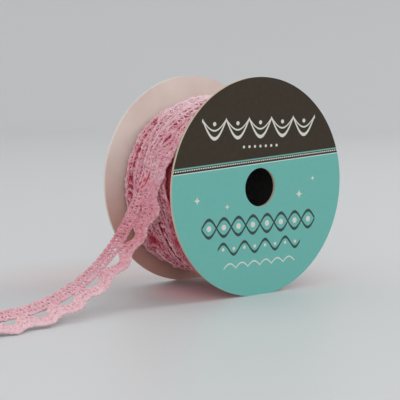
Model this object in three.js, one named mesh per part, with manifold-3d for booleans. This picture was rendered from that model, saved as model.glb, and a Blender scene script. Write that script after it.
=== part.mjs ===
// A card reel of narrow crocheted lace ribbon, standing on its two discs, with the ribbon's
// loose end coming off the left side and running down to the surface.
//
// Millimetres. The reel's axis is Y and its printed disc faces -Y. While it is built, the axis is
// over x = 0, the middle between the discs is y = 0 and the surface is z = 0. At the end all is
// moved sideways so that the origin is under the middle of the whole thing.

import * as THREE from 'three';
import { mergeVertices } from 'three/addons/utils/BufferGeometryUtils.js';
import Module from 'manifold-3d';

const wasm = await Module();
wasm.setup();

// Driving sizes of the reel
const DISC_RADIUS = 32.5;
const CARD = 0.8;
const BETWEEN_DISCS = 33.2;
const SPINDLE_RADIUS = 5.75;
const FOOT_CHORD = 9;
const TUBE_RADIUS = 10;
const TUBE_BORE_RADIUS = 7.2;
const GAP = 0.3;

// Driving sizes of the lace, laid flat: a straight band and a scalloped one. The scalloped band's
// two edges swing out from where it joins the straight band to each peak, and leave a lens-shaped
// hole there. On the winding the lace is drawn tight and the holes are narrow slots.
const RIBBON_WIDTH = 10;
const STRAIGHT_BAND = 4.2;
const INNER_EDGE = { join: 3.8, peak: 6.5 };
const OUTER_EDGE = { join: 8.6, peak: 10 };
const SCALLOP = 9.9;
const FIRST_PEAK = -1.5;
const WOUND_OPENING = 0.3;
const STRAIGHT_THICKNESS = 1.2;
const SCALLOPS_THICKNESS = 1.1;

// Driving sizes of the winding. It is a little out of round: each bulge has a size, a number of
// waves around and the angle that it is turned by.
const WINDING_CORE_RADIUS = 23.6;
const WINDING_RADIUS = 27;
const LAYER = 0.8;
const BRIDGING = 0.35;
const BULGES = [
  { size: -0.1, waves: 0, turned: 0 },
  { size: 1.9, waves: 1, turned: 200 },
  { size: 0.7, waves: 2, turned: 376 },
];
const RAYS = 108;
const LANES = 31;
const LEAVES_AT = 157;

// The last turns on the reel: the ribbon's middle, across the reel, at so many degrees of winding
// before the place where it leaves
const WINDING_PATH = [
  { back: 1520, y: -4.4 },
  { back: 1470, y: -5 },
  { back: 1430, y: -6 },
  { back: 1380, y: -6.2 },
  { back: 1340, y: -6 },
  { back: 1280, y: -2.4 },
  { back: 1210, y: 4.6 },
  { back: 1150, y: 9.2 },
  { back: 1087, y: 9.6 },
  { back: 1020, y: 9.4 },
  { back: 977, y: 8.4 },
  { back: 920, y: 5.6 },
  { back: 840, y: 4.4 },
  { back: 797, y: 5.6 },
  { back: 740, y: 6.4 },
  { back: 690, y: 4.4 },
  { back: 650, y: 1.2 },
  { back: 610, y: -0.4 },
  { back: 530, y: 0 },
  { back: 460, y: 0.6 },
  { back: 417, y: 1.2 },
  { back: 397, y: 2 },
  { back: 377, y: 3.4 },
  { back: 350, y: 1.4 },
  { back: 317, y: -3.8 },
  { back: 290, y: -6.9 },
  { back: 250, y: -8.6 },
  { back: 170, y: -9.6 },
  { back: 80, y: -7.9 },
  { back: 45, y: -7 },
  { back: 26, y: -6.3 },
  { back: 7, y: -5.1 },
  { back: 0, y: -3.9 },
];

// The loose end: where its straight edge and its wavy edge are, a row apart
const LOOSE_END = [
  { straight: [-26.5, 0.4, 43.9], wavy: [-27.4, -9.3, 41.6] },
  { straight: [-29.2, 3.3, 33.3], wavy: [-29.1, -6.3, 34.1] },
  { straight: [-34.8, 1.4, 25.6], wavy: [-31.4, -7.8, 26.5] },
  { straight: [-41.0, -1.1, 19.7], wavy: [-36.4, -10.0, 19.1] },
  { straight: [-48.3, -4.1, 14.4], wavy: [-44.0, -13.0, 12.8] },
  { straight: [-56.4, -6.6, 10.1], wavy: [-52.9, -15.6, 7.5] },
  { straight: [-65.1, -8.7, 7.0], wavy: [-62.2, -17.6, 3.6] },
  { straight: [-74.3, -10.7, 5.1], wavy: [-71.9, -19.5, 1.3] },
  { straight: [-83.6, -12.5, 4.6], wavy: [-82.1, -21.2, 0.7] },
  { straight: [-93.0, -13.9, 4.6], wavy: [-92.0, -22.6, 0.7] },
  { straight: [-102.4, -15.0, 4.4], wavy: [-101.9, -23.6, 0.7] },
];
const ROW = 9.5;
const LOOSE_FROM = 4.75;
const LOOSE_TO = 90.25;
const ABOVE_SURFACE = 0.05;

const FOOT_DROP = Math.sqrt(DISC_RADIUS ** 2 - (FOOT_CHORD / 2) ** 2);
const WINDING_HALF = BETWEEN_DISCS / 2 - GAP;

const printedCard = new THREE.MeshStandardMaterial({ color: 0x68aaa3, roughness: 0.6, metalness: 0 });
const bareCard = new THREE.MeshStandardMaterial({ color: 0xe4d3c9, roughness: 0.85, metalness: 0 });
const darkTube = new THREE.MeshStandardMaterial({ color: 0x14110f, roughness: 0.9, metalness: 0 });
const pinkCotton = new THREE.MeshStandardMaterial({ color: 0xdc93a8, roughness: 0.95, metalness: 0 });

// Both discs: a circle with a short flat spot at the bottom, and the spindle hole in the middle
function disc(name, material, frontY) {
  const half = Math.asin(FOOT_CHORD / 2 / DISC_RADIUS);
  const outline = new THREE.Shape();
  outline.absarc(0, 0, DISC_RADIUS, half - Math.PI / 2, 1.5 * Math.PI - half, false);
  outline.closePath();
  const spindle = new THREE.Path();
  spindle.absarc(0, 0, SPINDLE_RADIUS, 0, 2 * Math.PI, true);
  outline.holes.push(spindle);
  const plate = new THREE.ExtrudeGeometry(outline, { depth: CARD, bevelEnabled: false, curveSegments: 72 });
  const mesh = new THREE.Mesh(plate, material);
  mesh.name = name;
  mesh.rotation.x = Math.PI / 2;
  mesh.position.set(0, frontY + CARD, FOOT_DROP);
  return mesh;
}

// The dark tube that shows through the spindle hole and holds the two discs apart
function coreTube() {
  const ring = new THREE.Shape();
  ring.absarc(0, 0, TUBE_RADIUS, 0, 2 * Math.PI, false);
  const bore = new THREE.Path();
  bore.absarc(0, 0, TUBE_BORE_RADIUS, 0, 2 * Math.PI, true);
  ring.holes.push(bore);
  const length = 2 * WINDING_HALF;
  const tube = new THREE.ExtrudeGeometry(ring, { depth: length, bevelEnabled: false, curveSegments: 24 });
  const mesh = new THREE.Mesh(tube, darkTube);
  mesh.name = 'core_tube';
  mesh.rotation.x = Math.PI / 2;
  mesh.position.set(0, length / 2, FOOT_DROP);
  return mesh;
}

const easing = (t) => THREE.MathUtils.smoothstep(t, 0, 1);

// How far the scalloped band has swung out, so many millimetres along from where the ribbon
// leaves the winding: 0 at a join, 1 at a peak of the loose end, and less where it is wound
function swing(mm) {
  const stretched = 2.1 * (1 - easing((mm - 4) / 14));
  const open = THREE.MathUtils.lerp(WOUND_OPENING, 1, easing((mm + 8) / 14));
  return ((1 + Math.cos((2 * Math.PI * (mm + stretched - FIRST_PEAK)) / SCALLOP)) / 2) * open;
}
const innerEdge = (mm) => THREE.MathUtils.lerp(INNER_EDGE.join, INNER_EDGE.peak, swing(mm));
const outerEdge = (mm) => THREE.MathUtils.lerp(OUTER_EDGE.join, OUTER_EDGE.peak, swing(mm));

// The lace's relief on the winding, 1 on a band and less in a slot or past the scallops, for a
// place so far across from the straight edge
function laceRelief(across, mm) {
  const fromScallops = Math.max(innerEdge(mm) - across, across - outerEdge(mm));
  const fromStraight = across - STRAIGHT_BAND;
  return 1 - THREE.MathUtils.clamp(Math.min(fromScallops, fromStraight), 0, 1);
}

function windingMiddle(back) {
  const next = WINDING_PATH.findIndex((row) => row.back <= back);
  const [a, b] = [WINDING_PATH[Math.max(next - 1, 0)], WINDING_PATH[next]];
  if (a === b) return b.y;
  const t = (a.back - back) / (a.back - b.back);
  return THREE.MathUtils.lerp(a.y, b.y, t * t * (3 - 2 * t) * 0.5 + t * 0.5);
}

// The winding's outer radius on each ray and lane. The turns are laid on in order, each on the
// levels under it, partly bridging their dips, and what is under a slot or past the wave shows.
function windingRadii() {
  const laneY = (lane) => THREE.MathUtils.lerp(-WINDING_HALF, WINDING_HALF, lane / (LANES - 1));
  const plain = () => Array.from({ length: RAYS }, () => new Array(LANES).fill(WINDING_CORE_RADIUS));
  const [levels, radii] = [plain(), plain()];
  const step = 360 / RAYS;
  const lanes = [...Array(LANES).keys()];
  for (let i = Math.floor(WINDING_PATH[0].back / step); i >= 0; i -= 1) {
    const back = i * step;
    const at = Math.round((LEAVES_AT + 3600 - back) / step) % RAYS;
    const [level, radius] = [levels[at], radii[at]];
    const straightEdge = windingMiddle(back) + RIBBON_WIDTH / 2;
    const across = (lane) => straightEdge - laneY(lane);
    const covered = lanes.filter((lane) => across(lane) >= 0 && across(lane) <= RIBBON_WIDTH);
    const bridge = Math.max(...covered.map((lane) => level[lane]));
    const mm = -THREE.MathUtils.degToRad(back) * WINDING_RADIUS;
    for (const lane of covered) {
      const laid = THREE.MathUtils.lerp(level[lane], bridge, BRIDGING) + LAYER;
      radius[lane] = THREE.MathUtils.lerp(radius[lane], laid, laceRelief(across(lane), mm));
      level[lane] = laid;
    }
  }
  return { radii, laneY };
}

// A closed solid from rings of points that follow one another, either closed into a loop or with
// a flat cap on each end
function skin(rings, looped) {
  const count = rings[0].length;
  const corners = [];
  const push = (...points) => points.forEach((p) => corners.push(...p));
  const spans = looped ? rings.length : rings.length - 1;
  for (let i = 0; i < spans; i += 1) {
    const [a, b] = [rings[i], rings[(i + 1) % rings.length]];
    for (let j = 0; j < count; j += 1) {
      const k = (j + 1) % count;
      push(a[j], b[j], b[k], a[j], b[k], a[k]);
    }
  }
  if (!looped) {
    const last = rings[rings.length - 1];
    for (let j = 1; j < count - 1; j += 1) {
      push(rings[0][0], rings[0][j], rings[0][j + 1]);
      push(last[0], last[j + 1], last[j]);
    }
  }
  const geometry = new THREE.BufferGeometry();
  geometry.setAttribute('position', new THREE.Float32BufferAttribute(corners, 3));
  return geometry;
}

const bulge = (angle) => BULGES.reduce(
  (sum, { size, waves, turned }) => sum + size * Math.cos(waves * angle - THREE.MathUtils.degToRad(turned)),
  0,
);

// The wound ribbon, one uneven ring around the tube
function woundRibbon() {
  const { radii, laneY } = windingRadii();
  const rings = radii.map((ray, i) => {
    const angle = (2 * Math.PI * i) / RAYS;
    const at = (r, y) => [r * Math.cos(angle), y, FOOT_DROP + r * Math.sin(angle)];
    const outer = ray.map((r, lane) => at(r + bulge(angle), laneY(lane)));
    const inner = TUBE_RADIUS + GAP;
    return [at(inner, WINDING_HALF), ...outer.reverse(), at(inner, -WINDING_HALF)];
  });
  const mesh = new THREE.Mesh(skin(rings, true), pinkCotton);
  mesh.name = 'wound_ribbon';
  return mesh;
}

// A place on the loose end: so many millimetres along, so far across and so far off its middle
function looseSurface() {
  const curve = (edge) => new THREE.CatmullRomCurve3(LOOSE_END.map((row) => new THREE.Vector3(...row[edge])));
  const [straight, wavy] = [curve('straight'), curve('wavy')];
  const last = LOOSE_END.length - 1;
  const middle = (u) => straight.getPoint(u).add(wavy.getPoint(u)).multiplyScalar(0.5);
  return (mm, across, off) => {
    const u = THREE.MathUtils.clamp(mm / ROW / last, 0, 1);
    const over = wavy.getPoint(u).sub(straight.getPoint(u)).normalize();
    const along = middle(Math.min(u + 0.002, 1)).sub(middle(Math.max(u - 0.002, 0))).normalize();
    const normal = new THREE.Vector3().crossVectors(along, over).normalize();
    const place = middle(u).addScaledVector(over, across - RIBBON_WIDTH / 2).addScaledVector(normal, off);
    return [place.x, place.y, Math.max(place.z, ABOVE_SURFACE)];
  };
}

function solidOf(geometry) {
  const merged = mergeVertices(geometry, 1e-5);
  return new wasm.Manifold(new wasm.Mesh({
    numProp: 3,
    vertProperties: new Float32Array(merged.attributes.position.array),
    triVerts: new Uint32Array(merged.index.array),
  }));
}

// The loose end, its two bands joined where they touch, with the lens-shaped holes left open
function looseEnd() {
  const surface = looseSurface();
  const band = (steps, thickness, nearEdge, farEdge) => {
    const half = thickness / 2;
    const rings = [];
    for (let i = 0; i <= steps; i += 1) {
      const mm = THREE.MathUtils.lerp(LOOSE_FROM, LOOSE_TO, i / steps);
      const corner = (edge, off) => surface(mm, edge(mm), off);
      rings.push([corner(nearEdge, half), corner(farEdge, half), corner(farEdge, -half), corner(nearEdge, -half)]);
    }
    return solidOf(skin(rings, false));
  };
  const straight = band(80, STRAIGHT_THICKNESS, () => 0, () => STRAIGHT_BAND);
  const scalloped = band(144, SCALLOPS_THICKNESS, innerEdge, outerEdge);
  const joined = straight.add(scalloped).getMesh();
  const geometry = new THREE.BufferGeometry();
  geometry.setAttribute('position', new THREE.BufferAttribute(joined.vertProperties, joined.numProp));
  geometry.setIndex(new THREE.BufferAttribute(joined.triVerts, 1));
  const mesh = new THREE.Mesh(geometry, pinkCotton);
  mesh.name = 'loose_end';
  return mesh;
}

const group = new THREE.Group();
group.add(
  disc('disc_printed', printedCard, -BETWEEN_DISCS / 2 - CARD),
  disc('disc_back', bareCard, BETWEEN_DISCS / 2),
  coreTube(),
  woundRibbon(),
  looseEnd(),
);
group.updateMatrixWorld(true);
const box = new THREE.Box3().setFromObject(group, true);
const middle = box.getCenter(new THREE.Vector3());
group.position.set(-middle.x, -middle.y, -box.min.z);

export default group;
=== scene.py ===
# A narrow cotton lace ribbon wound on a reel of two card discs and a dark tube, with its loose
# end running down to the table. Metres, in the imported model's frame: the reel's axis is along Y
# and the printed disc faces -Y.
import math

import bpy
import numpy as np
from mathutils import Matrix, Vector


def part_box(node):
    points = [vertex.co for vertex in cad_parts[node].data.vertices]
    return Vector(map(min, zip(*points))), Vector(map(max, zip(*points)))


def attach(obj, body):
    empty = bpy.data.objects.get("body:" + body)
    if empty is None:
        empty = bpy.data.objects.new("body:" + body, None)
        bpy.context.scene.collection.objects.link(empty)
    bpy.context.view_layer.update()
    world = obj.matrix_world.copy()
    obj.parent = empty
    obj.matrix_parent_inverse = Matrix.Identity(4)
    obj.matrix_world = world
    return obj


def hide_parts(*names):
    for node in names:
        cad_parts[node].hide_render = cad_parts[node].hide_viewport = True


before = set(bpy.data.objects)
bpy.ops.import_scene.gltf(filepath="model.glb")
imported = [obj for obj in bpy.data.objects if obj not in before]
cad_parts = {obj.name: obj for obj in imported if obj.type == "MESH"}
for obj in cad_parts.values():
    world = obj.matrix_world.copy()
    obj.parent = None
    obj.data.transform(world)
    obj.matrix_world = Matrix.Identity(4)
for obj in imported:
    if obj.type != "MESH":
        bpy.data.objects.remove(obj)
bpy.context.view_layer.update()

# The camera stands low, in front of the printed disc and a little to its left, with a long lens,
# so the disc is seen at an angle and the winding shows between the two discs.
CAMERA_AT = Vector((-0.20132, -0.28914, 0.06971))
CAMERA_FORWARD = Vector((0.60601, 0.78725, -0.11394))
SENSOR_WIDTH = 36.0
FOCAL_LENGTH = 110.16
NEAREST_SEEN = 0.01
camera = bpy.data.objects.new("camera", bpy.data.cameras.new("camera"))
bpy.context.scene.collection.objects.link(camera)
camera.data.sensor_width = SENSOR_WIDTH
camera.data.lens = FOCAL_LENGTH
camera.data.clip_start = NEAREST_SEEN
camera.location = CAMERA_AT
camera.rotation_mode = "QUATERNION"
camera.rotation_quaternion = CAMERA_FORWARD.to_track_quat("-Z", "Y")
bpy.context.scene.camera = camera
bpy.context.scene.view_settings.view_transform = "Standard"

# The core tube: a pressed tube about 20 mm across that the ribbon is wound on. It is the imported solid in
# a dull near-black finish, which paints its bore the black of shade where it shows through the spindle
# hole.


def colour(hex_code):
    """A screen colour as the linear numbers that a shader takes."""
    parts = [int(hex_code[i : i + 2], 16) / 255 for i in (1, 3, 5)]
    return tuple(c / 12.92 if c <= 0.04045 else ((c + 0.055) / 1.055) ** 2.4 for c in parts) + (1,)


def new_material(name):
    """A material with its shader, ready for its own nodes."""
    material = bpy.data.materials.new(name)
    material.use_nodes = True
    return material, material.node_tree, material.node_tree.nodes["Principled BSDF"]


def connect(tree, socket, value):
    """Links a socket to another one, or sets it to a plain value."""
    if isinstance(value, bpy.types.NodeSocket):
        tree.links.new(value, socket)
    else:
        socket.default_value = value


def add(tree, kind, **sockets):
    """A shader node, with its inputs set or linked by name."""
    node = tree.nodes.new(kind)
    for name, value in sockets.items():
        connect(tree, node.inputs[name.replace("_", " ")], value)
    return node


def noise(tree, scale, detail=3.0, roughness=0.55):
    """Noise in the object's own coordinates, with its scale in waves per metre."""
    place = tree.nodes.new("ShaderNodeTexCoord")
    node = add(tree, "ShaderNodeTexNoise", Scale=scale, Detail=detail, Roughness=roughness)
    tree.links.new(place.outputs["Object"], node.inputs["Vector"])
    return node.outputs["Fac"]


def between(tree, value, low, high, to_low=0.0, to_high=1.0):
    """A soft step from one value to another, as a number goes from low to high."""
    node = tree.nodes.new("ShaderNodeMapRange")
    node.interpolation_type = "SMOOTHSTEP"
    connect(tree, node.inputs["Value"], value)
    for name, number in (("From Min", low), ("From Max", high), ("To Min", to_low), ("To Max", to_high)):
        connect(tree, node.inputs[name], number)
    return node.outputs["Result"]


def mix(tree, share, first, second):
    """Two colours mixed: all the first one at share 0, all the second one at share 1."""
    node = tree.nodes.new("ShaderNodeMix")
    node.data_type = "RGBA"
    connect(tree, node.inputs[0], share)
    connect(tree, node.inputs[6], first)
    connect(tree, node.inputs[7], second)
    return node.outputs[2]


def bump(tree, height, distance, strength):
    """The way a surface faces when this height roughens it, over so many metres."""
    node = add(tree, "ShaderNodeBump", Strength=strength, Distance=distance, Height=height)
    return node.outputs["Normal"]


tube_finish, tree, shader = new_material("dark_tube")
grain = noise(tree, 900.0)
connect(tree, shader.inputs["Base Color"], mix(tree, grain, colour("#0b0908"), colour("#1b1613")))
connect(tree, shader.inputs["Roughness"], between(tree, grain, 0.3, 0.7, 0.55, 0.8))
connect(tree, shader.inputs["Normal"], bump(tree, grain, 0.0002, 0.4))
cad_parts["core_tube"].data.materials[0] = tube_finish

# The back disc: grey-board 0.8 mm thick, die-cut with a spindle hole and a short flat foot, and left bare.
# Its inner face is redder and darker low down, with painted shade and painted pink bounce light from the
# lace.


class Field:
    """A number that changes over a surface, built up from math nodes."""

    def __init__(self, tree, socket):
        self.tree, self.socket = tree, socket

    def math(self, operation, *others, clamp=False, turned=False):
        node = self.tree.nodes.new("ShaderNodeMath")
        node.operation, node.use_clamp = operation, clamp
        values = [o.socket if isinstance(o, Field) else o for o in others]
        values.insert(1 if turned else 0, self.socket)
        for socket, value in zip(node.inputs, values):
            connect(self.tree, socket, value)
        return Field(self.tree, node.outputs[0])

    def __add__(self, other):
        return self.math("ADD", other)

    def __sub__(self, other):
        return self.math("SUBTRACT", other)

    def __rsub__(self, other):
        return self.math("SUBTRACT", other, turned=True)

    def __mul__(self, other):
        return self.math("MULTIPLY", other)

    def __truediv__(self, other):
        return self.math("DIVIDE", other)

    def sin(self):
        return self.math("SINE")

    def abs(self):
        return self.math("ABSOLUTE")

    def least(self, other):
        return self.math("MINIMUM", other)

    def cell(self, pitch):
        """How far it is from the middle of its cell, with cells a pitch apart."""
        return self.math("PINGPONG", pitch / 2)

    def inked(self, half_width, edge=0.07):
        """1 where this distance is within a half width, with an edge as crisp as printing."""
        return (half_width - self).math("DIVIDE", edge).math("ADD", 0.5, clamp=True)


def card_group():
    """The mottle and fibres of bare grey-board, as a colour share and a height."""
    group = bpy.data.node_groups.new("Card fibres", "ShaderNodeTree")
    group.interface.new_socket("Fibre scale", in_out="INPUT", socket_type="NodeSocketFloat")
    group.interface.new_socket("Mottle", in_out="OUTPUT", socket_type="NodeSocketFloat")
    group.interface.new_socket("Fibres", in_out="OUTPUT", socket_type="NodeSocketFloat")
    given = group.nodes.new("NodeGroupInput")
    result = group.nodes.new("NodeGroupOutput")
    place = group.nodes.new("ShaderNodeTexCoord")
    fine = add(group, "ShaderNodeTexNoise", Detail=4.0, Roughness=0.7)
    coarse = add(group, "ShaderNodeTexNoise", Scale=55.0, Detail=3.0, Roughness=0.6)
    group.links.new(given.outputs["Fibre scale"], fine.inputs["Scale"])
    for node in (fine, coarse):
        group.links.new(place.outputs["Object"], node.inputs["Vector"])
    group.links.new(coarse.outputs["Fac"], result.inputs["Mottle"])
    group.links.new(fine.outputs["Fac"], result.inputs["Fibres"])
    return group


card_fibres = card_group()
FIBRE_SCALE = 1500.0


def bare_card(tree, light, dark):
    """The colour and the height of bare card."""
    fibres = tree.nodes.new("ShaderNodeGroup")
    fibres.node_tree = card_fibres
    fibres.inputs["Fibre scale"].default_value = FIBRE_SCALE
    tone = between(tree, fibres.outputs["Mottle"], 0.35, 0.65, 0.0, 0.6)
    tone = mix(tree, tone, colour(light), colour(dark))
    speckle = between(tree, fibres.outputs["Fibres"], 0.62, 0.78)
    tone = mix(tree, speckle, tone, colour(dark))
    return tone, fibres.outputs["Fibres"]


def place_on(tree):
    """The place on the object, with X, Y and Z as sockets of their own."""
    place = tree.nodes.new("ShaderNodeTexCoord")
    return add(tree, "ShaderNodeSeparateXYZ", Vector=place.outputs["Object"]).outputs


def faces_front(tree):
    """1 on a disc's face that looks towards -Y, and 0 on its rim and its other face."""
    facing = tree.nodes.new("ShaderNodeNewGeometry")
    turn = add(tree, "ShaderNodeSeparateXYZ", Vector=facing.outputs["Normal"])
    return Field(tree, turn.outputs["Y"]).math("LESS_THAN", -0.5)


# Painted shade with pink bounce light from the lace, on the inner face low down.
PAINTED_SHADE_BELOW, PAINTED_SHADE_FULL = 0.045, 0.013
bare_finish, tree, shader = new_material("bare_card")
tone, fibres = bare_card(tree, "#ecdfd5", "#dccabf")
painted_low_shade = Field(tree, between(tree, place_on(tree)["Z"], PAINTED_SHADE_FULL, PAINTED_SHADE_BELOW, 0.9, 0.0))
tone = mix(tree, (painted_low_shade * faces_front(tree)).socket, tone, colour("#c99486"))
connect(tree, shader.inputs["Base Color"], tone)
connect(tree, shader.inputs["Normal"], bump(tree, fibres, 0.0001, 0.5))
shader.inputs["Roughness"].default_value = 0.85
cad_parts["disc_back"].data.materials[0] = bare_finish

# The printed disc: the same card, cut with the same tool and printed on its outer face: dark over
# turquoise, with a stitched line where they meet and a plain ornament of swags, beads, a plaited
# band and ripples. Its places are in millimetres across and up from the disc's middle.
MM = 0.001
DISC_RADIUS = 32.5
disc_low, disc_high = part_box("disc_printed")
REEL_X = (disc_low.x + disc_high.x) / 2 / MM
REEL_Z = disc_high.z / MM - DISC_RADIUS
SPLIT_HEIGHT, SPLIT_SLOPE = 7.05, 0.0569
STITCH_PITCH, STITCH_HEIGHT, TRIM_HEIGHT = 0.83, 0.88, 1.5
SWAG_TOP, SWAG_PITCH, SWAG_DROP, INNER_SWAG_DROP = 20.4, 8.6, 5.4, 3.1
DROP_HEIGHT, BEAD_HEIGHT, BEAD_PITCH = 19.2, 12.2, 2.1
BRAID_HEIGHT, BRAID_LENGTH, BRAID_SWING = -10.9, 11, 2.6
RIPPLE_HEIGHT, RIPPLE_LENGTH, RIPPLE_SWING = -17.4, 8, 1.7
HEM_HEIGHT, HEM_PITCH, HEM_DROP = -23.2, 4.6, 1.4
SPARKS = ((-23.5, -2.5, 1.5), (15.5, -3.0, 1.7), (21.0, 1.5, 1.1), (-12.5, -5.0, 1.1))
PALE, WHITE, OFF_WHITE = colour("#cfe0da"), colour("#e6e6df"), colour("#dcdad0")
GREY, TRIM = colour("#40504e"), colour("#74b3a8")


def length_of(a, b):
    return (a * a + b * b).math("SQRT")


printed_finish, tree, shader = new_material("printed_card")
place = place_on(tree)
u = Field(tree, place["X"]) * 1000.0 - REEL_X
v = Field(tree, place["Z"]) * 1000.0 - REEL_Z
above = v - u * SPLIT_SLOPE - SPLIT_HEIGHT
along = u + v * SPLIT_SLOPE
ink_grain = noise(tree, 700.0)
dark = mix(tree, ink_grain, colour("#3a3229"), colour("#443c32"))
turquoise = mix(tree, ink_grain, colour("#6eb6ad"), colour("#76bcb4"))
upper = above.math("DIVIDE", 0.07).math("ADD", 0.5, clamp=True)
print_tone = mix(tree, upper.socket, turquoise, dark)
stitch = along.cell(STITCH_PITCH).inked(0.25) * (above - STITCH_HEIGHT).abs().inked(0.17)
for mask, tone in (
    ((above - TRIM_HEIGHT).abs().inked(0.2), TRIM),
    (above.abs().inked(0.13), PALE),
    (stitch, WHITE),
):
    print_tone = mix(tree, mask.socket, print_tone, tone)
hanging = ((u + SWAG_PITCH / 2) * (math.pi / SWAG_PITCH)).sin().abs()
swags = (v - SWAG_TOP + hanging * SWAG_DROP).abs()
inner_swags = (v - SWAG_TOP + hanging * INNER_SWAG_DROP).abs()
drops = length_of(u.cell(SWAG_PITCH), v - DROP_HEIGHT)
beads = length_of(u.cell(BEAD_PITCH), v - BEAD_HEIGHT)
chain = (u * (2 * math.pi / BRAID_LENGTH)).sin() * BRAID_SWING
braid = (v - BRAID_HEIGHT - chain).abs().least((v - BRAID_HEIGHT + chain).abs())
eyes = length_of((u - BRAID_LENGTH / 4).cell(BRAID_LENGTH / 2), v - BRAID_HEIGHT)
ripple = (v - RIPPLE_HEIGHT - (u * (2 * math.pi / RIPPLE_LENGTH)).sin() * RIPPLE_SWING).abs()
pips = length_of((u - RIPPLE_LENGTH / 4).cell(RIPPLE_LENGTH / 2), v - RIPPLE_HEIGHT)
hem = (v - HEM_HEIGHT - (u * (math.pi / HEM_PITCH)).sin().abs() * HEM_DROP).abs()
# Each motif has its distance from the line or dot, half its width, its ink, and how far it runs.
for motif, half_width, ink, reach in (
    (swags, 0.5, OFF_WHITE, 21.7), (inner_swags, 0.24, OFF_WHITE, 21.6),
    (drops, 0.6, OFF_WHITE, 21.0), (beads, 0.42, OFF_WHITE, 6.8),
    (braid, 0.48, GREY, 22.0), (eyes, 0.85, OFF_WHITE, 21.5),
    (ripple, 0.45, GREY, 16.0), (pips, 0.5, OFF_WHITE, 15.5),
    (hem, 0.22, OFF_WHITE, 13.8),
):
    print_tone = mix(tree, (motif.inked(half_width) * u.abs().inked(reach)).socket, print_tone, ink)
for u_at, v_at, size in SPARKS:
    spark = (u - u_at).abs().math("SQRT") + (v - v_at).abs().math("SQRT")
    print_tone = mix(tree, spark.inked(math.sqrt(size), 0.12).socket, print_tone, OFF_WHITE)
front = faces_front(tree).socket
tone, fibres = bare_card(tree, "#d3c1ad", "#b9a691")
connect(tree, shader.inputs["Base Color"], mix(tree, front, tone, print_tone))
connect(tree, shader.inputs["Roughness"], mix(tree, front, (0.85,) * 3 + (1,), (0.6,) * 3 + (1,)))
connect(tree, shader.inputs["Normal"], bump(tree, fibres, 0.00004, 0.3))
shader.inputs["Specular IOR Level"].default_value = 0.12
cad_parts["disc_printed"].data.materials[0] = printed_finish

# The inner turns of the ribbon: cotton lace 10 mm wide, made of plaits and cross yarns, wound close on the
# tube. Only the outermost of them show, through the turns on top, so the rest is one closed ring in the
# deep red of painted shade. The lace comes first, in millimetres along it, across it and off it.
RIBBON_WIDTH = 10.0
STRAIGHT_BAND = 4.2
SCALLOP = 9.9
FIRST_PEAK = -1.5
STRETCH = 2.1
# The scalloped band's edges at a join and at a peak, and how far they open where it is wound.
INNER_EDGE = (3.8, 6.5)
OUTER_EDGE = (8.6, 10.0)
WOUND_OPENING = 0.38
# Where the lace turns off the winding and hangs free it is wider: at, over how far, and by how much.
FLARES = ((3.5, 6.5, 2.6), (13, 4, 0.9), (20.5, 3.2, 1.7))
# The small holes of the net, in two rows in the straight band and two in the scalloped one.
NET_PITCH = 2.1
NET_ROWS = (1.32, 2.92, 5.35, 6.95)
NET_HOLE = 0.6


def swing(s):
    """How far the scalloped band has swung out: 0 at a join and 1 at a peak."""
    tight = 1 - np.clip((s - 4) / 14, 0, 1)
    turn = 2 * np.pi * (s + STRETCH * tight**2 * (3 - 2 * tight) - FIRST_PEAK) / SCALLOP
    return (1 + np.cos(turn)) / 2


def flare(s):
    """How much wider the lace is where it turns away from the winding and hangs free."""
    return sum(size * np.exp(-(((s - at) / reach) ** 2)) for at, reach, size in FLARES)


def inner_edge(s):
    """The scalloped band's inner edge, which opens little where it is wound."""
    loose = np.clip((s - 15) / 12, 0, 1)
    opening = WOUND_OPENING + (1 - WOUND_OPENING) * loose**2 * (3 - 2 * loose)
    opening = opening + 0.12 * np.exp(-(((s - 1) / 7) ** 2))
    return INNER_EDGE[0] + (INNER_EDGE[1] - INNER_EDGE[0]) * swing(s) * opening


def outer_edge(s):
    """The scalloped band's outer edge, which is the lace's wavy edge."""
    opening = WOUND_OPENING + (1 - WOUND_OPENING) * np.clip((s + 1) / 15, 0, 1)
    return OUTER_EDGE[0] + (OUTER_EDGE[1] - OUTER_EDGE[0]) * swing(s) * opening + flare(s)


def unevenness(seed, s, waves=((0.9, 0.5), (2.3, 0.3), (5.1, 0.2))):
    """A smooth wandering number from -1 to 1, the same for the same strand and place."""
    draw = np.random.default_rng(seed)
    total = np.zeros_like(s)
    for rate, size in waves:
        total += size * np.sin(s * rate * draw.uniform(0.8, 1.25) + draw.uniform(0, 6.3))
    return total


def nearest_hole(s, a):
    """The way from the nearest hole of the net, along and across, and how open it is there."""
    best = None
    for k, row in enumerate(NET_ROWS):
        along = (s + k % 2 * NET_PITCH / 2) % NET_PITCH - NET_PITCH / 2
        gap = np.hypot(along, a - row)
        openness = 1.0 if k < 2 else 1 - np.clip((s + 2) / 8, 0, 1)
        if best is None:
            best = [gap, along, a - row, openness + 0 * s]
        else:
            nearer = gap < best[0]
            new = (gap, along, a - row, openness)
            best = [np.where(nearer, n, b) for n, b in zip(new, best)]
    return best


# How uneven the yarn is in thickness, as a share, and in its place across and off the lace, and
# how much the net closes up where the lace hangs free.
YARN_SWELL, YARN_WANDER, YARN_LIFT = 0.24, 0.15, 0.09
NET_CLOSING = 0.16


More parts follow.
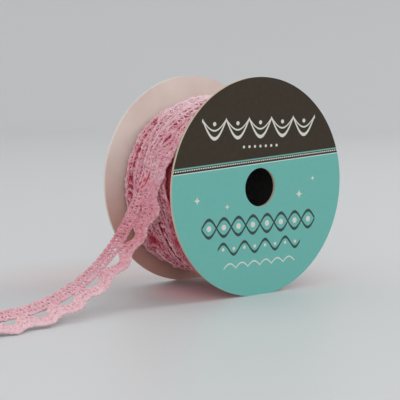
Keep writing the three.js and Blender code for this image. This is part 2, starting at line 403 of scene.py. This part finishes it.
def lace_strands(s):
    """Every strand of the lace over the stretch s, as rows of along, across, off and thickness."""
    strands = []

    def strand(seed, across, off, radius):
        """One yarn, uneven as spun cotton is, and pushed aside by the holes of the net."""
        swell = 1 + YARN_SWELL * unevenness(seed, s, ((1.3, 0.4), (3.7, 0.4), (7.9, 0.3)))
        across = across + YARN_WANDER * unevenness(seed + 1, s)
        off = off + YARN_LIFT * unevenness(seed + 2, s)
        gap, along, over, openness = nearest_hole(s, across)
        hole = NET_HOLE * openness * (0.9 + 0.15 * unevenness(seed // 100, s))
        hole = hole * (1 - NET_CLOSING * np.clip(s / 6, 0, 1))
        push = (gap**3 + hole**3) ** (1 / 3) / np.maximum(gap, 0.02) - 1
        push = np.minimum(push, hole / np.maximum(gap, 0.02))
        strands.append((s + along * push, across + over * push, off, radius * swell))

    def plait(seed, middle, half_width, half_depth, pitch, radius, raised=0.0):
        """Three yarns that cross over one another round a middle line."""
        for k in range(3):
            turn = s / pitch + k / 3 + 0.37 * seed + 0.3 * unevenness(seed * 31, s)
            phase = 2 * np.pi * turn
            sideways = half_width * np.sin(phase)
            depth = raised + half_depth * np.sin(2 * phase)
            strand(seed * 100 + k * 7, middle + sideways, depth, radius)

    def crossing(seed, low, high, pitch, radius, phase):
        """One yarn that goes to and fro between two lines."""
        turn = 2 * np.pi * (s / pitch + phase + 0.2 * unevenness(seed * 31, s))
        sideways = np.arcsin(0.96 * np.sin(turn)) / np.arcsin(0.96)
        across = (low + high) / 2 + (high - low) / 2 * sideways
        strand(seed * 100, across, 0.26 * np.sin(turn), radius)

    inner, outer = inner_edge(s), outer_edge(s)
    width = outer - inner
    plait(1, 0.5, 0.26, 0.26, 2.9, 0.33, 0.12)
    plait(2, 2.10, 0.22, 0.18, 3.3, 0.28)
    plait(3, 3.72, 0.25, 0.20, 3.0, 0.29)
    crossing(4, 0.45, 2.15, 2.1, 0.30, 0.0)
    crossing(5, 2.05, 3.75, 2.1, 0.30, 0.5)
    full = 1 + np.minimum(0.2 * flare(s), 0.3)
    plait(6, outer - 0.5, 0.30 * full, 0.21, 2.6, 0.29 * full, 0.08)
    plait(7, inner + 0.45, 0.24, 0.17, 3.1, 0.26 * full)
    plait(8, inner + 0.44 * width, 0.36 * full, 0.15, 3.7, 0.28 * full)
    crossing(9, inner + 0.4, inner + 0.5 * width, 2.0, 0.27 * full, 0.2)
    crossing(10, inner + 0.5 * width, outer - 0.35, 1.9, 0.28 * full, 0.7)
    crossing(11, inner + 0.4, outer - 0.3, 2.7, 0.27 * full, 0.4)
    plait(12, inner + 0.76 * width, 0.34 * full, 0.12, 3.3, 0.26 * full)
    return strands


# How the last turns are wound, a little over four of them up to where the ribbon leaves the reel:
# degrees back from there, and how far towards the back disc the ribbon's middle line lies.
WINDING_PATH = (
    (1520, -4.4), (1470, -5), (1430, -6), (1380, -6.2), (1340, -6), (1280, -2.4), (1210, 4.6),
    (1150, 9.2), (1087, 9.6), (1020, 9.4), (977, 8.4), (920, 5.6), (840, 4.4), (797, 5.0),
    (750, 4.6), (720, 3.4), (680, 3.2), (650, 1.0), (610, -0.4), (530, 0), (460, 0.6), (417, 1.0),
    (397, 1.2), (377, 0.6), (350, -2.6), (317, -7.6), (290, -9.6), (250, -10.4), (170, -10), (80, -7.9),
    (45, -7), (26, -6.3), (7, -5.1), (0, -3.9), (-14, -1.6), (-30, 1.6),
)
LEAVES_AT = 157.0
WINDING_HALF = 16.3
CORE_RADIUS = 24.0
TUBE_RADIUS = 10.0
MEAN_RADIUS = 27.0
LAYER = 1.3
BRIDGING = 0.35
CREVICE_REACH = 1.2
REEL_Y = (disc_high.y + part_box("disc_back")[0].y) / 2 / MM
path_back = np.array([row[0] for row in WINDING_PATH][::-1], float)
path_y = np.array([row[1] for row in WINDING_PATH][::-1], float)
path_slope = np.gradient(path_y, path_back)


def winding_middle(back):
    """The y of the ribbon's middle line and its slope, so many degrees back from where it leaves."""
    back = np.clip(back, path_back[0], path_back[-1])
    k = np.clip(np.searchsorted(path_back, back, side="right") - 1, 0, len(path_back) - 2)
    span = path_back[k + 1] - path_back[k]
    t = (back - path_back[k]) / span
    a, b = path_y[k], path_y[k + 1]
    m, n = path_slope[k] * span, path_slope[k + 1] * span
    y = (2 * t**3 - 3 * t**2 + 1) * a + (t**3 - 2 * t**2 + t) * m
    y = y + (3 * t**2 - 2 * t**3) * b + (t**3 - t**2) * n
    slope = (6 * t**2 - 6 * t) * (a - b) + (3 * t**2 - 4 * t + 1) * m + (3 * t**2 - 2 * t) * n
    return y, slope / span


# The turns are laid one on another, a step at a time. levels is how far out the winding has come,
# beds is what each place in the ribbon lies on, and crevices is where the edge of a turn is near.
RAY_STEP = 2.0
RAYS = int(360 / RAY_STEP)
PAST = 10
lane_y = np.linspace(-WINDING_HALF, WINDING_HALF, 83)
levels = np.full((RAYS, len(lane_y)), CORE_RADIUS)
steps = int(WINDING_PATH[0][0] / RAY_STEP)
across_grid = np.linspace(0, RIBBON_WIDTH, 26)
beds = np.zeros((steps + 1 + PAST, len(across_grid)))
crevices = np.zeros_like(levels)
for i in range(steps, -PAST - 1, -1):
    back = i * RAY_STEP
    ray = math.floor((LEAVES_AT - back) / RAY_STEP) % RAYS
    straight_edge = winding_middle(np.array(back))[0] + RIBBON_WIDTH / 2
    across = straight_edge - lane_y
    covered = (across >= 0) & (across <= RIBBON_WIDTH)
    under = np.interp(straight_edge - across_grid, lane_y, levels[ray])
    bridge = levels[ray][covered].max()
    beds[i + PAST] = under * (1 - BRIDGING) + bridge * BRIDGING
    if i < 0:
        continue
    laid = levels[ray] * (1 - BRIDGING) + bridge * BRIDGING + LAYER
    levels[ray] = np.where(covered, laid, levels[ray])
    beyond = np.maximum(-across, across - OUTER_EDGE[0] - 0.5)
    near_edge = np.maximum(crevices[ray], np.clip(CREVICE_REACH - beyond, 0, 1))
    crevices[ray] = np.where(beyond <= 0, 0, near_edge)


def smoothed(grid, axis, reach, looped=False):
    """The grid averaged with a soft window, so many cells to each side."""
    weights = np.cos(np.linspace(-np.pi / 2, np.pi / 2, 2 * reach + 3))[1:-1]
    pads = [(0, 0)] * grid.ndim
    pads[axis] = (reach, reach)
    wide = np.pad(grid, pads, mode="wrap" if looped else "edge")
    windows = [np.take(wide, range(j, j + grid.shape[axis]), axis) * w for j, w in enumerate(weights)]
    return sum(windows) / weights.sum()


beds = smoothed(smoothed(beds, 0, 2), 1, 2)
envelope = smoothed(smoothed(levels, 0, 3, looped=True), 1, 4)
crevices = smoothed(crevices, 0, 2, looped=True)


def grid_value(grid, row, column, looped=False):
    """The grid's value between its rows and columns."""
    rows, columns = grid.shape
    row = row % rows if looped else np.clip(row, 0, rows - 1.001)
    column = np.clip(column, 0, columns - 1.001)
    i, j = np.floor(row).astype(int), np.floor(column).astype(int)
    f, g = row - i, column - j
    k = (i + 1) % rows
    return (grid[i, j] * (1 - g) + grid[i, j + 1] * g) * (1 - f) + (
        grid[k, j] * (1 - g) + grid[k, j + 1] * g
    ) * f


# How far the winding is out of round, as degrees round it from +X up, and millimetres outwards.
SAG = (
    (0, -0.4), (50, -1.2), (90, -1.1), (110, -0.6), (125, 0.2), (142, 0.8), (165, 1.2), (185, 1.7),
    (205, 2.1), (226, 2.9), (240, 2.9), (252, 1.9), (270, 0.7), (300, 0.0),
)
# Where it is sunk between turns: degrees round, place along the axis, reach in degrees, half the
# width, how far it wanders along the axis in each degree, and how deep.
DENTS = (
    (163, 8.7, 32, 0.4, 0.0, 2.1), (158, 11.3, 33, 0.42, 0.0, 2.3), (219, 6.4, 8, 1.7, 0.3, 1.7),
    (204, -3.6, 9, 0.6, -0.05, 1.1), (180, 12.9, 12, 0.5, 0.0, 1.5), (116, 7.3, 7, 0.45, 0.1, 1.4),
    (131, 12.7, 6, 0.45, 0.1, 1.5), (144, 5.8, 5, 0.4, 0.1, 1.1),
)


def sag(angle):
    """How far the winding is out of round at this angle: flat on top, slack below the open side."""
    at, out = np.array(SAG, float).T
    return np.interp(np.degrees(angle), at, out, period=360)


def dent(angle, y):
    """How deep the winding is sunk in the gaps between its turns."""
    degrees = np.degrees(angle) % 360
    lumps = np.maximum(0.6 + 0.6 * np.sin(0.9 * degrees + 0.7 * y + 2 * np.sin(0.31 * degrees)), 0)
    total = np.zeros_like(degrees)
    for at, across, reach, half, slope, size in DENTS:
        over = (y - across - slope * (degrees - at)) / half
        total = total + size * lumps * np.exp(-(((degrees - at) / reach) ** 4) - over**2)
    return total


# Painted shade that makes the cotton redder in the winding: each millimetre under the outer skin, the edge
# of a turn, a gap between turns, the underside, and the shelter of the printed disc, with slow patches at
# random.
UNDER_SKIN, BY_EDGE, IN_DENT, PATCHES, UNDERSIDE, BY_DISC = 1.2, 1.3, 0.9, 0.22, 0.42, 0.5
LEAST_DEPTH = 0.18


def painted_shade_in_winding(points):
    """Painted shade at each point: how far under the winding's outer skin it lies, and more where it faces
    down.
    """
    x, y, z = points[:, 0] - REEL_X, points[:, 1], points[:, 2] - REEL_Z
    angle = np.arctan2(z, x)
    radius = np.hypot(x, z) - sag(angle)
    lane = (y - REEL_Y + WINDING_HALF) / (lane_y[1] - lane_y[0])
    ray = np.degrees(angle) / RAY_STEP
    depth = UNDER_SKIN * (grid_value(envelope, ray, lane, looped=True) - radius)
    lumps = 1.1 + 0.6 * np.sin(angle * 53 + 2 * np.sin(angle * 17))
    depth = depth + BY_EDGE * lumps * grid_value(crevices, ray, lane, looped=True)
    depth = depth + IN_DENT * dent(angle, y - REEL_Y)
    broad = np.sin(angle * 9 + y * 0.8) * np.sin(angle * 21 - y * 0.55)
    depth = depth + PATCHES * broad
    open_side = np.degrees(angle) % 360
    fading = np.clip((320 - open_side) / 60, 0, 1)
    turned = np.clip((open_side - 190) / 40, 0, 1) * fading
    by_disc = np.clip((open_side - 158) / 12, 0, 1) * np.clip((REEL_Y - y - 5) / 4, 0, 1)
    return depth + LEAST_DEPTH + UNDERSIDE * turned**2 * (3 - 2 * turned) + BY_DISC * by_disc * fading


def carried(tree, name):
    """A number that the mesh carries at each of its points."""
    node = tree.nodes.new("ShaderNodeAttribute")
    node.attribute_name = name
    return node.outputs["Fac"]


# The cotton: soft pink yarn with a fluffy skin, with painted shade that makes it redder the deeper it lies
# in the winding and where shade falls, and painted light that makes it paler where light falls on it.
cotton, tree, shader = new_material("pink_cotton")
fluff = noise(tree, 1100.0, detail=4.0, roughness=0.65)
patch = noise(tree, 120.0, detail=2.0)
pink = mix(tree, between(tree, fluff, 0.35, 0.65), colour("#d8919f"), colour("#f0c7cd"))
pink = mix(tree, between(tree, patch, 0.35, 0.65, 0.0, 0.35), pink, colour("#df97a8"))
# Painted light: the cotton is paler where the light falls on it.
pink = mix(tree, carried(tree, "painted_light"), pink, colour("#f1dcdf"))
# Painted shade: the deep red of cotton in shade, mixed in by the depth each point carries.
painted_shade_share = between(tree, carried(tree, "depth"), 0.45, 1.8)
connect(tree, shader.inputs["Base Color"], mix(tree, painted_shade_share, pink, colour("#bf3f55")))
connect(tree, shader.inputs["Normal"], bump(tree, fluff, 0.00012, 0.7))
shader.inputs["Roughness"].default_value = 0.9
shader.inputs["Sheen Weight"].default_value = 0.25
shader.inputs["Sheen Roughness"].default_value = 0.5
shader.inputs["Specular IOR Level"].default_value = 0.2


def cotton_piece(mesh, node):
    """A piece of this mesh with its name, its finish and its place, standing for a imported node."""
    mesh.materials.append(cotton)
    piece = bpy.data.objects.new(mesh.name, mesh)
    bpy.context.scene.collection.objects.link(piece)
    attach(piece, "root")
    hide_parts(node)
    return piece


def yarn_mesh(name, paths, sides):
    """One mesh of round yarns. Each path has its points, the cloth's normal, radius, painted shade and
    painted light.
    """
    verts, loops, starts, uvs, shades, painted_lights = [], [], [], [], [], []
    first = loop_count = 0
    turn = 2 * np.pi * np.arange(sides) / sides
    for points, normal, radius, shade, painted_light in paths:
        count = len(points)
        tangent = np.gradient(points, axis=0)
        gap = np.linalg.norm(tangent, axis=1, keepdims=True)
        run = np.concatenate([[0], np.cumsum(gap[1:, 0])])
        tangent /= gap
        up = normal - tangent * (normal * tangent).sum(1, keepdims=True)
        up /= np.linalg.norm(up, axis=1, keepdims=True)
        side = np.cross(tangent, up)
        ring = np.cos(turn)[None, :, None] * up[:, None] + np.sin(turn)[None, :, None] * side[:, None]
        verts.append((points[:, None] + ring * radius[:, None, None]).reshape(-1, 3))
        # The underside of each yarn gets more painted shade than its top.
        shades.append((shade[:, None] - radius[:, None] * np.cos(turn)[None, :]).ravel())
        painted_lights.append(np.repeat(painted_light, sides))
        ids = first + np.arange(count * sides).reshape(count, sides)
        ahead = np.roll(ids, -1, 1)
        quads = np.stack([ids[:-1], ahead[:-1], ahead[1:], ids[1:]], -1).reshape(-1, 4)
        around = np.broadcast_to(np.arange(sides) / sides, (count - 1, sides))
        along = np.broadcast_to(run[:-1, None], (count - 1, sides))
        further = np.broadcast_to(run[1:, None], (count - 1, sides))
        step = 1 / sides
        corner = [(along, around), (along, around + step), (further, around + step), (further, around)]
        uvs.append(np.stack([np.stack(c, -1) for c in corner], 2).reshape(-1, 2))
        loops.append(quads.ravel())
        starts.append(loop_count + 4 * np.arange(len(quads)))
        loop_count += 4 * len(quads)
        for cap in (ids[0][::-1], ids[-1]):
            loops.append(cap)
            starts.append(np.array([loop_count]))
            uvs.append(np.zeros((sides, 2)))
            loop_count += sides
        first += count * sides
    mesh = bpy.data.meshes.new(name)
    mesh.vertices.add(first)
    mesh.vertices.foreach_set("co", (np.concatenate(verts) * MM).astype(np.float32).ravel())
    loops = np.concatenate(loops).astype(np.int32)
    mesh.loops.add(len(loops))
    mesh.loops.foreach_set("vertex_index", loops)
    starts = np.concatenate(starts).astype(np.int32)
    mesh.polygons.add(len(starts))
    mesh.polygons.foreach_set("loop_start", starts)
    mesh.polygons.foreach_set("use_smooth", np.ones(len(starts), bool))
    layer = mesh.uv_layers.new(name="yarn")
    layer.data.foreach_set("uv", np.concatenate(uvs).astype(np.float32).ravel())
    for attribute, values in (("depth", shades), ("painted_light", painted_lights)):
        shade = mesh.attributes.new(attribute, "FLOAT", "POINT")
        shade.data.foreach_set("value", np.concatenate(values).astype(np.float32))
    mesh.update(calc_edges=True)
    mesh.validate()
    return mesh


def close_mesh(name, points, faces, depth):
    """A closed smooth mesh of cotton too close to show its yarns, with the painted shade of each point."""
    mesh = bpy.data.meshes.new(name)
    mesh.from_pydata((points * MM).tolist(), [], faces)
    mesh.polygons.foreach_set("use_smooth", [True] * len(faces))
    shade = mesh.attributes.new("depth", "FLOAT", "POINT")
    shade.data.foreach_set("value", depth.astype(np.float32))
    return mesh


def round_reel(radius, y, angle):
    """Places at these distances from the reel's axis, along it and round it, and the way out."""
    out = np.stack([np.cos(angle), np.zeros_like(angle), np.sin(angle)], -1)
    return np.stack([REEL_X + radius * out[:, 0], REEL_Y + y, REEL_Z + radius * out[:, 2]], -1), out


RING_RAYS, RING_LANES = 180, 34
# The ring carries full painted shade, so it is the deep red of cotton in shade.
RING_SHADE = 2.0
lanes = np.linspace(-WINDING_HALF, WINDING_HALF, RING_LANES)
rim = np.concatenate([[-WINDING_HALF], lanes, [WINDING_HALF]])
ring_points = []
for angle in np.radians(np.arange(RING_RAYS) * 360 / RING_RAYS):
    radius = CORE_RADIUS - LAYER + sag(angle) + 0.15 * np.cos(lanes * 4.4 + 0.6 * np.sin(3 * angle))
    radius = np.concatenate([[TUBE_RADIUS + 0.3], radius, [TUBE_RADIUS + 0.3]])
    ring_points.append(round_reel(radius, rim, np.full(len(rim), angle))[0])
ids = np.arange(RING_RAYS * len(rim)).reshape(RING_RAYS, len(rim))
beside, after = np.roll(ids, -1, 1), np.roll(ids, -1, 0)
ring_faces = np.stack([ids, beside, np.roll(beside, -1, 0), after], -1).reshape(-1, 4).tolist()
ring_shade = np.full(ids.size, RING_SHADE)
ring = close_mesh("wound_inner_turns", np.concatenate(ring_points), ring_faces, ring_shade)
cotton_piece(ring, "wound_ribbon")

# Three closed turns straight on that ring, with their seams at the bottom.
LOWER_MIDDLES = (-11.2, -0.6, 10.0)
LOWER_STEP = 0.7
LOWER_APART = 40
s = np.arange(0, 2 * np.pi * MEAN_RADIUS, LOWER_STEP)
angle = s / MEAN_RADIUS - np.pi / 2
for number, middle in enumerate(LOWER_MIDDLES, 1):
    paths = []
    for _, across, off, radius in lace_strands(s + LOWER_APART * number):
        y = middle - (across - RIBBON_WIDTH / 2)
        points, out = round_reel(CORE_RADIUS - LAYER / 2 + off + sag(angle), y, angle)
        paths.append((points, out, radius, painted_shade_in_winding(points), np.zeros(len(s))))
    cotton_piece(yarn_mesh(f"wound_lower_turn_{number}", paths, 4), "wound_ribbon")

# The outer turns of the ribbon: over four turns of the same lace, laid over one another in slow zigzags,
# each lying on the turns under it. Every yarn is built, over a thin close middle that stops the view
# through and shows red with painted shade in the gaps. Near its end the ribbon swings off the reel, along
# the loose end's path.
YARN_STEP = 0.45
ROW = 9.5
LEAVES_FROM, LEAVES_OVER = 1.5, 8.0
LOOSE_FROM = 3.45
# Each row of the loose end is a scallop on from the last: its straight edge and its wavy edge,
# measured from the middle of the reel's foot.
LOOSE_END = (
    ((-26.5, 0.4, 43.9), (-27.4, -9.3, 41.6)), ((-29.2, 3.3, 33.3), (-29.1, -6.3, 34.1)),
    ((-34.8, 1.4, 25.6), (-31.4, -7.8, 26.5)), ((-41.0, -1.1, 19.7), (-36.4, -10.0, 19.1)),
    ((-48.3, -4.1, 14.4), (-44.0, -13.0, 12.8)), ((-56.4, -6.6, 10.1), (-52.9, -15.6, 7.5)),
    ((-65.1, -8.7, 7.0), (-62.2, -17.6, 3.6)), ((-74.3, -10.7, 5.1), (-71.9, -19.5, 1.3)),
    ((-83.6, -12.5, 4.6), (-82.1, -21.2, 0.7)), ((-93.0, -13.9, 4.6), (-92.0, -22.6, 0.7)),
    ((-102.4, -15.0, 4.4), (-101.9, -23.6, 0.7)),
)
# Painted light that makes the cotton paler: on top of the winding above a height, over so many millimetres,
# and on along the loose end, less in its straight band.
PAINTED_LIGHT_FROM, PAINTED_LIGHT_OVER, PAINTED_LIGHT_TOP = 46, 11, 0.65
PAINTED_LIGHT_END, PAINTED_LIGHT_STRAIGHT = 0.5, 0.6
CLEAR_OF_TABLE = 0.05
# How flat the wound lace is pressed, how high its ups and downs are, and how deep its gaps sink.
PRESSED, RUMPLED, SUNK = 0.8, 0.24, 0.8
# Painted shade in the loose end: the cotton is redder below its middle, and round where it bends to the
# table.
LOOSE_SHADE, LOOSE_UNDER, BEND_SHADE, BEND_AT, BEND_OVER = 0.36, 1.3, 0.36, 27, 11


def rumple(s, a):
    """The lace's soft ups and downs, about 3 mm from one to the next, from -1 to 1."""
    first = np.sin(1.9 * s + 1.1 * a + 1.7 * np.sin(0.31 * s)) * np.cos(1.4 * a - 0.5 * s)
    second = np.sin(1.1 * s - 2.3 * a + 2.1 * np.sin(0.23 * s + a))
    return 0.6 * first + 0.4 * second


def on_winding(s, a, off):
    """A place in the wound lace, so far along, across and off its middle, and the way out there."""
    middle, slope = winding_middle(np.degrees(-s / MEAN_RADIUS))
    lean = -slope * 180 / np.pi / MEAN_RADIUS
    size = np.sqrt(1 + lean**2)
    place = s + (a - RIBBON_WIDTH / 2) * lean / size
    y = middle - (a - RIBBON_WIDTH / 2) / size
    back = np.degrees(-place / MEAN_RADIUS)
    across = winding_middle(back)[0] + RIBBON_WIDTH / 2 - y
    bed = grid_value(beds, back / RAY_STEP + PAST, across / (across_grid[1] - across_grid[0]))
    angle = np.radians(LEAVES_AT - back)
    radius = bed + LAYER / 2 + off * PRESSED + RUMPLED * rumple(s, a) + sag(angle)
    return round_reel(radius - SUNK * dent(angle, y), y, angle)


def edge_line(rows, u):
    """A smooth line through the rows, at u rows from the first, going on straight past the ends."""
    rows = np.array(rows, float)
    slopes = np.gradient(rows, axis=0)
    inside = np.clip(u, 0, len(rows) - 1)
    k = np.clip(np.floor(inside).astype(int), 0, len(rows) - 2)
    t = (inside - k)[:, None]
    line = (2 * t**3 - 3 * t**2 + 1) * rows[k] + (t**3 - 2 * t**2 + t) * slopes[k]
    line = line + (3 * t**2 - 2 * t**3) * rows[k + 1] + (t**3 - t**2) * slopes[k + 1]
    past = (u - inside)[:, None]
    return line + past * np.where(past < 0, slopes[0], slopes[-1])


def on_loose_end(s, a, off):
    """A place in the loose end, so far along, across and off its middle, and its normal there."""
    straight, wavy = ([row[k] for row in LOOSE_END] for k in (0, 1))
    u = s / ROW
    near, far = edge_line(straight, u), edge_line(wavy, u)
    over = far - near
    over /= np.linalg.norm(over, axis=1, keepdims=True)
    ahead = edge_line(straight, u + 0.02) + edge_line(wavy, u + 0.02)
    along = ahead - edge_line(straight, u - 0.02) - edge_line(wavy, u - 0.02)
    along /= np.linalg.norm(along, axis=1, keepdims=True)
    normal = np.cross(over, along)
    normal /= np.linalg.norm(normal, axis=1, keepdims=True)
    at = (near + far) / 2 + over * (a - RIBBON_WIDTH / 2)[:, None] + normal * off[:, None]
    return at + np.array([REEL_X, REEL_Y, 0.0]), normal


def in_lace(along, across, off):
    """A place anywhere in the lace, its normal and its painted shade, from the winding over to the tail."""
    wound, out = on_winding(np.minimum(along, LEAVES_FROM + LEAVES_OVER), across, off)
    loose, normal = on_loose_end(along, across, off)
    share = np.clip((along - LEAVES_FROM) / LEAVES_OVER, 0, 1)
    share = (share**2 * (3 - 2 * share))[:, None]
    points = wound * (1 - share) + loose * share
    normal = out * (1 - share) + normal * share
    normal /= np.linalg.norm(normal, axis=1, keepdims=True)
    # Painted shade in the loose end: redder below the middle and round the bend.
    bend = np.exp(-(((along - BEND_AT) / BEND_OVER) ** 2))
    loose_shade = LOOSE_SHADE - LOOSE_UNDER * off + BEND_SHADE * bend
    depth = painted_shade_in_winding(points) * (1 - share[:, 0]) + loose_shade * share[:, 0]
    return points, normal, depth


def lace_yarns(start, end, step, parts=None):
    """The lace's yarns from one length along it to another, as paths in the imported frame."""
    s = np.linspace(start, end, int(round((end - start) / step)) + 1)
    paths = []
    for number, (along, across, off, radius) in enumerate(lace_strands(s)):
        if parts is not None and number not in parts:
            continue
        points, normal, depth = in_lace(along, across, off)
        points[:, 2] = np.maximum(points[:, 2], radius + CLEAR_OF_TABLE)
        # Painted light: paler along the loose end and on top of the winding.
        painted_light = PAINTED_LIGHT_END * np.clip(along / 50 - 0.3, 0, 1) * (PAINTED_LIGHT_STRAIGHT if across[0] < 4 else 1)
        painted_light = painted_light + PAINTED_LIGHT_TOP * np.clip((points[:, 2] - PAINTED_LIGHT_FROM) / PAINTED_LIGHT_OVER, 0, 1)
        paths.append((points, normal, radius, depth, painted_light))
    return paths


# The close middle, sunk in the slots between the two bands and in the holes of the net, and red there with
# painted shade.
GROUND_STEP, GROUND_COLUMNS, GROUND_THICKNESS, GROUND_OFF = 0.45, 20, 0.16, -0.3
GROUND_MARGINS = (0.45, 0.7)
GROUND_TO = 12.0
SLOT_SUNK, HOLE_SUNK, GROUND_RIPPLE = 0.5, 0.15, 0.12
SLOT_SHADE, HOLE_SHADE, GROUND_SHADE = 0.9, 0.9, 0.1
first_along = -math.radians(WINDING_PATH[0][0]) * MEAN_RADIUS
s = np.linspace(first_along, GROUND_TO, int(round((GROUND_TO - first_along) / GROUND_STEP)) + 1)
share = np.concatenate([np.linspace(0, 1, GROUND_COLUMNS), np.linspace(1, 0, GROUND_COLUMNS)])
side = np.tile(np.repeat([GROUND_THICKNESS / 2, -GROUND_THICKNESS / 2], GROUND_COLUMNS), len(s))
along = np.repeat(s, 2 * GROUND_COLUMNS)
across = (GROUND_MARGINS[0] + np.outer(outer_edge(s) - GROUND_MARGINS[1], share)).ravel()
ripple = GROUND_RIPPLE * np.sin(along * 2.9) * np.sin(across * 3.7)
gap, _, _, openness = nearest_hole(along, across)
hole = openness * np.clip(1.5 - gap / 0.5, 0, 1)
slot = np.minimum(across - STRAIGHT_BAND + 0.2, inner_edge(along) + 0.2 - across)
slot = np.clip(slot / 0.25, 0, 1)
off = side + GROUND_OFF - SLOT_SUNK * slot - HOLE_SUNK * hole + ripple
points, _, depth = in_lace(along, across, off)
# Painted shade: redder where the middle shows in a slot or a hole.
depth = depth + GROUND_SHADE + HOLE_SHADE * hole + SLOT_SHADE * slot
ids = np.arange(len(s) * 2 * GROUND_COLUMNS).reshape(len(s), 2 * GROUND_COLUMNS)
beside = np.roll(ids, -1, 1)
faces = np.stack([ids[:-1], ids[1:], beside[1:], beside[:-1]], -1).reshape(-1, 4).tolist()
faces += [ids[0].tolist(), ids[-1][::-1].tolist()]
cotton_piece(close_mesh("wound_ground", points, faces, depth), "wound_ribbon")

# The yarns, a turn to a piece. The places where one piece ends and the next begins, in degrees
# back from where the ribbon leaves the reel, lie on the side away from the open one.
TURN_STARTS = (1520, 1227, 867, 507, 147)
ends = [-math.radians(back) * MEAN_RADIUS for back in TURN_STARTS] + [LOOSE_FROM]
for number, (start, end) in enumerate(zip(ends, ends[1:]), 1):
    yarns = lace_yarns(start, end, YARN_STEP)
    cotton_piece(yarn_mesh(f"wound_turn_{number}", yarns, 5), "wound_ribbon")

# The loose end: the same lace, 10 mm wide and nine scallops long, coming off the winding, falling
# to the table and lying on it on its wavy edge. The plaits along its edges are one piece
# and the yarns between them the other.
LOOSE_TO = 90.25
LOOSE_STEP = 0.3
EDGING = {0, 1, 2, 6, 7, 8, 11, 12, 13, 14, 15, 16}
FILLING = set(range(26)) - EDGING
yarns = lace_yarns(LOOSE_FROM, LOOSE_TO, LOOSE_STEP, EDGING)
edging = cotton_piece(yarn_mesh("loose_end_edging", yarns, 7), "loose_end")
yarns = lace_yarns(LOOSE_FROM, LOOSE_TO, LOOSE_STEP, FILLING)
filling = cotton_piece(yarn_mesh("loose_end_filling", yarns, 7), "loose_end")

# The stage: pale paper that curves up all round from the floor into a plain backdrop, with painted shade
# and painted pink bounce light from the lace behind and under the reel. The light is soft studio light from
# the right and above, and a weaker wide one from the left.
FLAT_TO, CURVE = 0.8, 0.4
AROUND = 96
profile = [(0.3, 0.0), (FLAT_TO, 0.0)]
for t in np.radians(np.arange(5, 91, 5)):
    profile.append((FLAT_TO + CURVE * math.sin(t), CURVE - CURVE * math.cos(t)))
stage_verts = [(0.0, 0.0, 0.0)]
for radius, height in profile:
    for k in range(AROUND):
        a = 2 * math.pi * k / AROUND
        stage_verts.append((radius * math.cos(a), radius * math.sin(a), height))
stage_faces = [(0, 1 + k, 1 + (k + 1) % AROUND) for k in range(AROUND)]
for row in range(len(profile) - 1):
    low, high = 1 + row * AROUND, 1 + (row + 1) * AROUND
    for k in range(AROUND):
        stage_faces.append((low + k, high + k, high + (k + 1) % AROUND, low + (k + 1) % AROUND))
stage_mesh = bpy.data.meshes.new("stage_floor")
stage_mesh.from_pydata(stage_verts, [], stage_faces)
stage_mesh.polygons.foreach_set("use_smooth", [True] * len(stage_faces))
floor = bpy.data.objects.new("stage_floor", stage_mesh)
bpy.context.scene.collection.objects.link(floor)
stage_finish, tree, shader = new_material("stage_paper")
place = place_on(tree)


def distance_from(middle, radii):
    """How far it is from a place on the floor, as a share of a radius in X and one in Y."""
    x, y = ((Field(tree, place[n]) - m) / r for n, m, r in zip("XY", middle, radii))
    return length_of(x, y).socket


# Painted shade with pink bounce light, on the floor behind the reel.
painted_bounce_shade = between(tree, distance_from((0.012, 0.042), (0.07, 0.042)), 0.0, 1.0, 1.0, 0.0)
floor_tone = mix(tree, painted_bounce_shade, (0.62, 0.62, 0.62, 1), (0.6, 0.52, 0.525, 1))
# Painted pink bounce light, lightening the shadow on the floor under the reel.
painted_bounce_light = between(tree, distance_from((0.018, 0.0), (0.017, 0.02)), 0.2, 1.0, 1.0, 0.0)
connect(tree, shader.inputs["Base Color"], mix(tree, painted_bounce_light, floor_tone, (0.9, 0.66, 0.67, 1)))
shader.inputs["Roughness"].default_value = 0.4
shader.inputs["Specular IOR Level"].default_value = 0.3
stage_mesh.materials.append(stage_finish)

LIGHT_AIM = Vector((0.0, 0.0, 0.03))
for name, at, size, watts in (
    ("light_key", (0.85, -0.22, 0.6), 0.3, 2.6),
    ("light_front", (-0.5, -0.75, 0.4), 0.5, 1.75),
    ("light_top", (0.0, 0.15, 1.0), 0.9, 1.0),
):
    light = bpy.data.lights.new(name, "AREA")
    light.shape = "DISK"
    light.size, light.energy = size, watts
    lamp = bpy.data.objects.new(name, light)
    lamp.location = at
    lamp.rotation_mode = "QUATERNION"
    lamp.rotation_quaternion = (LIGHT_AIM - Vector(at)).to_track_quat("-Z", "Y")
    bpy.context.scene.collection.objects.link(lamp)
world = bpy.data.worlds.new("studio")
bpy.context.scene.world = world
world.use_nodes = True
world.node_tree.nodes["Background"].inputs["Color"].default_value = (0.9, 0.93, 0.95, 1)
world.node_tree.nodes["Background"].inputs["Strength"].default_value = 0.8
